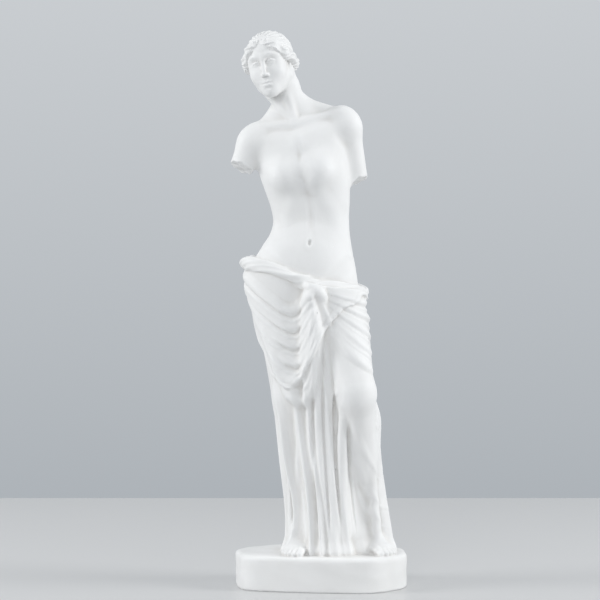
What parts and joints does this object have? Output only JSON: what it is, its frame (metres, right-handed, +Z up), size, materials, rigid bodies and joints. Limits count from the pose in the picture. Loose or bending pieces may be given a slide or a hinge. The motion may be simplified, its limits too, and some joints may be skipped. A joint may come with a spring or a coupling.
{
  "type": "classical goddess statuette",
  "caption": "Cast statuette of a half-draped classical goddess with broken arms, standing on a low irregular block plinth.",
  "frame": {"origin": "middle of the statue's bounding box, on the underside of the plinth", "axes": "+Z up, the figure's chest faces -Y, +X is the figure's own left"},
  "size_m": [0.0942, 0.0628, 0.2999],
  "materials": {
    "plaster": "matte white cast plaster or resin, unpainted"
  },
  "bodies": {
    "root": {"statue": "plaster"}
  },
  "joints": []
}
